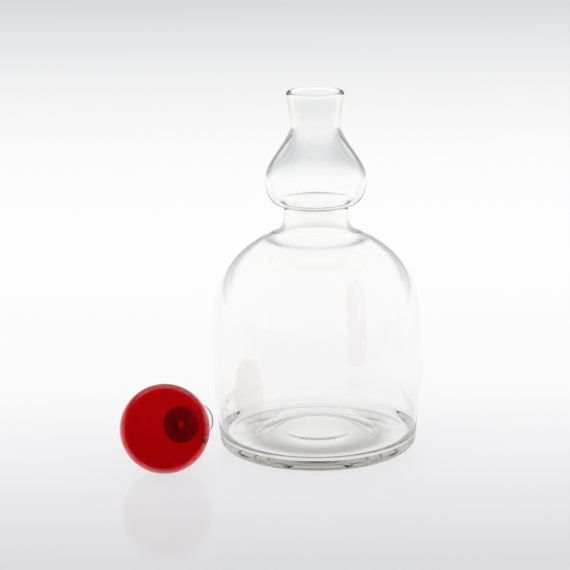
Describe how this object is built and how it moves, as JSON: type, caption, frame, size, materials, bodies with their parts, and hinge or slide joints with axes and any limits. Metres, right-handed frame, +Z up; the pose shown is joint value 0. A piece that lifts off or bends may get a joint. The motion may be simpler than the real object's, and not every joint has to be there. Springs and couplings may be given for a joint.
{
  "type": "decanter",
  "caption": "Blown glass decanter with a barrel body, a waist, a pear-shaped bulb and a flared neck, and a hollow ball stopper with a peg that lies beside it.",
  "frame": {"origin": "on the table, at the middle of the rectangle that the bottle and the stopper beside it cover", "axes": "+Z up along the bottle's axis, +X to the right and +Y away from the side that the stopper lies on"},
  "size_m": [0.1704, 0.135, 0.2045],
  "materials": {
    "clear_glass": "clear colourless blown glass, fire polished",
    "red_glass": "clear red blown glass, fire polished"
  },
  "bodies": {
    "bottle": {"bottle": "clear_glass"},
    "stopper": {"stopper_ball": "red_glass", "stopper_peg": "clear_glass"}
  },
  "joints": [
    {"name": "stopper_lift", "type": "slide", "parent": "bottle", "child": "stopper", "axis": [0, 0, 1], "range_m": [0, 0.25]}
  ]
}
